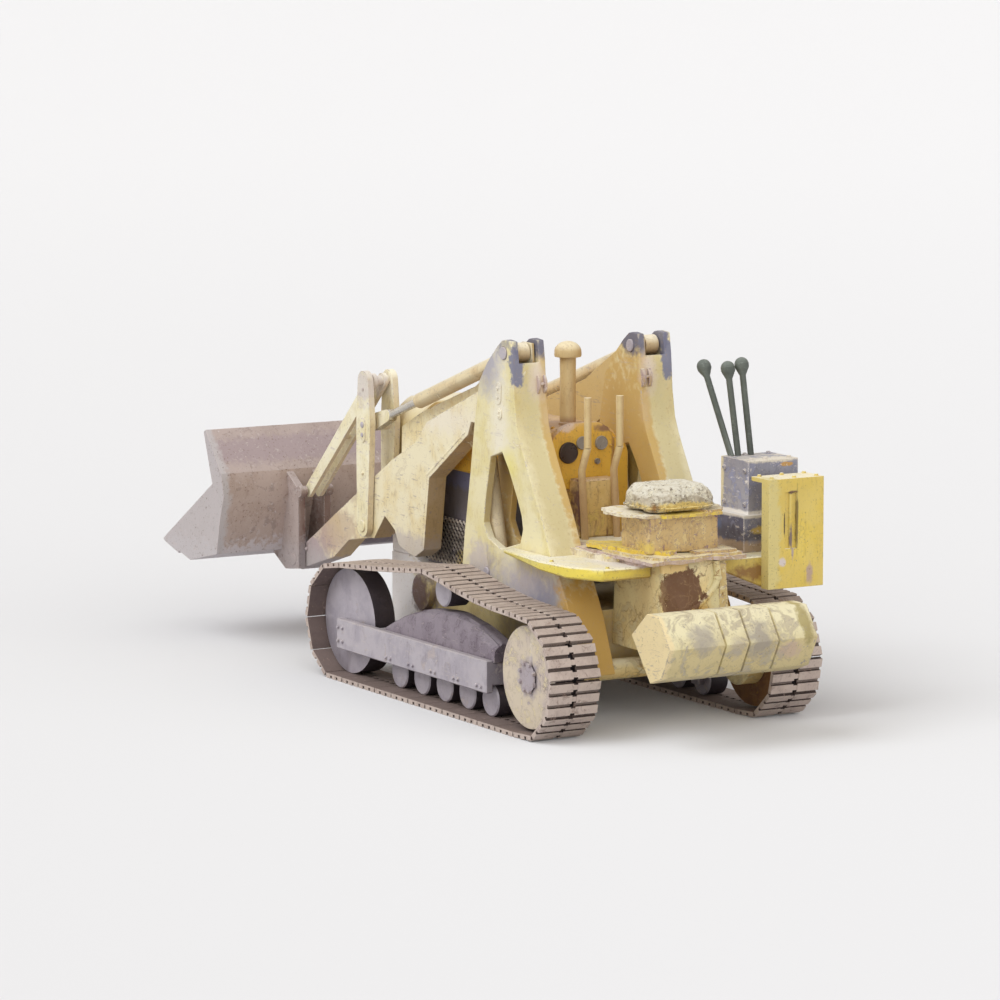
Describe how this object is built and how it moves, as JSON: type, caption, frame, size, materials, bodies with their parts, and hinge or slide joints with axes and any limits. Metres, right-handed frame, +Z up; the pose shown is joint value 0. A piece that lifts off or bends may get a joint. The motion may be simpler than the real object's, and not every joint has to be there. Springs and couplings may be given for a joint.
{
  "type": "crawler loader",
  "caption": "Old crawler loader on two tracks: a wide bucket on lift arms between two tall posts, with tilt levers and cylinders, an open engine, a seat, hand levers and a rear counterweight.",
  "frame": {"origin": "on the ground under the middle of the overall length, width and height box: the middle of the bounding box's bottom face", "axes": "+X forward towards the bucket, +Y to the machine's left, +Z up"},
  "size_m": [4.886, 1.836, 2.003],
  "materials": {
    "track_steel": "weathered",
    "sprocket_paint": "weathered",
    "sprocket_rust": "weathered",
    "undercarriage_steel": "weathered",
    "faded_yellow": "weathered",
    "strong_yellow": "weathered",
    "bucket_steel": "weathered",
    "engine_dark": "weathered",
    "slate_blue": "weathered",
    "rod_chrome": "weathered",
    "seat_cover": "weathered",
    "lever_grey": "weathered",
    "pale_ochre": "weathered",
    "dial_dark": "weathered"
  },
  "bodies": {
    "chassis": {"main_frame": "faded_yellow", "rear_case": "faded_yellow", "final_drives": "undercarriage_steel", "cross_supports": "engine_dark", "track_left": "track_steel", "track_right": "track_steel", "sprocket_left": "sprocket_paint", "sprocket_right": "sprocket_rust", "idlers": "undercarriage_steel", "bottom_rollers": "undercarriage_steel", "carrier_rollers": "undercarriage_steel", "track_frame_left": "undercarriage_steel", "track_frame_right": "undercarriage_steel", "spring_covers": "undercarriage_steel", "tower_left": "faded_yellow", "tower_right": "faded_yellow", "tower_pins": "pale_ochre", "engine_block": "engine_dark", "engine_screens": "undercarriage_steel", "hood": "faded_yellow", "radiator_guard": "faded_yellow", "dashboard": "strong_yellow", "gauges": "dial_dark", "console": "pale_ochre", "steering_levers": "pale_ochre", "air_stack": "pale_ochre", "floor_plate": "faded_yellow", "seat_frame": "faded_yellow", "seat_cushion": "seat_cover", "fender_left": "faded_yellow", "fender_right": "faded_yellow", "hydraulic_tank": "strong_yellow", "valve_block": "slate_blue", "valve_levers": "lever_grey", "counterweight": "faded_yellow"},
    "lift_arms": {"lift_arm_left": "faded_yellow", "lift_arm_right": "faded_yellow", "arm_cross_tube": "undercarriage_steel", "lever_pins": "rod_chrome"},
    "bucket": {"bucket_shell": "bucket_steel", "bucket_brackets": "bucket_steel", "bucket_pins": "rod_chrome"},
    "tilt_levers": {"tilt_lever_left": "faded_yellow", "tilt_lever_right": "faded_yellow"},
    "tilt_links": {"tilt_links": "faded_yellow"},
    "tilt_barrels": {"tilt_barrels": "pale_ochre"},
    "tilt_rods": {"tilt_rods": "rod_chrome"},
    "lift_barrels": {"lift_barrels": "pale_ochre"},
    "lift_rods": {"lift_rods": "rod_chrome"}
  },
  "joints": [
    {"name": "arm_lift", "type": "hinge", "parent": "chassis", "child": "lift_arms", "pos_m": [-0.823, 0, 1.93], "axis": [0, -1, 0], "range_deg": [-9, 50]},
    {"name": "bucket_tilt", "type": "hinge", "parent": "lift_arms", "child": "bucket", "pos_m": [1.597, 0, 0.505], "axis": [0, -1, 0], "range_deg": [-80, 20]},
    {"name": "lever_swing", "type": "hinge", "parent": "lift_arms", "child": "tilt_levers", "pos_m": [0.782, 0, 0.8], "axis": [0, -1, 0], "range_deg": [-41.16, 10.66]},
    {"name": "link_swing", "type": "hinge", "parent": "tilt_levers", "child": "tilt_links", "pos_m": [0.767, 0, 1.618], "axis": [0, -1, 0], "range_deg": [-9.64, 37.04]},
    {"name": "tilt_barrel_swing", "type": "hinge", "parent": "lift_arms", "child": "tilt_barrels", "pos_m": [-0.823, 0, 1.93], "axis": [0, -1, 0], "range_deg": [-0.75, 1.5]},
    {"name": "tilt_rod_slide", "type": "slide", "parent": "tilt_barrels", "child": "tilt_rods", "axis": [0.9458, 0, -0.3246], "range_m": [-0.108, 0.402]},
    {"name": "lift_barrel_swing", "type": "hinge", "parent": "chassis", "child": "lift_barrels", "pos_m": [-0.643, 0, 0.73], "axis": [0, -1, 0], "range_deg": [-3.38, 1.02]},
    {"name": "lift_rod_slide", "type": "slide", "parent": "lift_barrels", "child": "lift_rods", "axis": [0.229, 0, 0.9734], "range_m": [-0.086, 0.43]}
  ],
  "couplings": [
    {"joint": "lever_swing", "follows": "bucket_tilt", "ratio": 0.5082},
    {"joint": "link_swing", "follows": "bucket_tilt", "ratio": -0.4568},
    {"joint": "tilt_barrel_swing", "follows": "bucket_tilt", "ratio": -0.0125},
    {"joint": "tilt_rod_slide", "follows": "bucket_tilt", "m_per_rad": -0.28041},
    {"joint": "lift_barrel_swing", "follows": "arm_lift", "ratio": -0.05757},
    {"joint": "lift_rod_slide", "follows": "arm_lift", "m_per_rad": 0.48076}
  ]
}
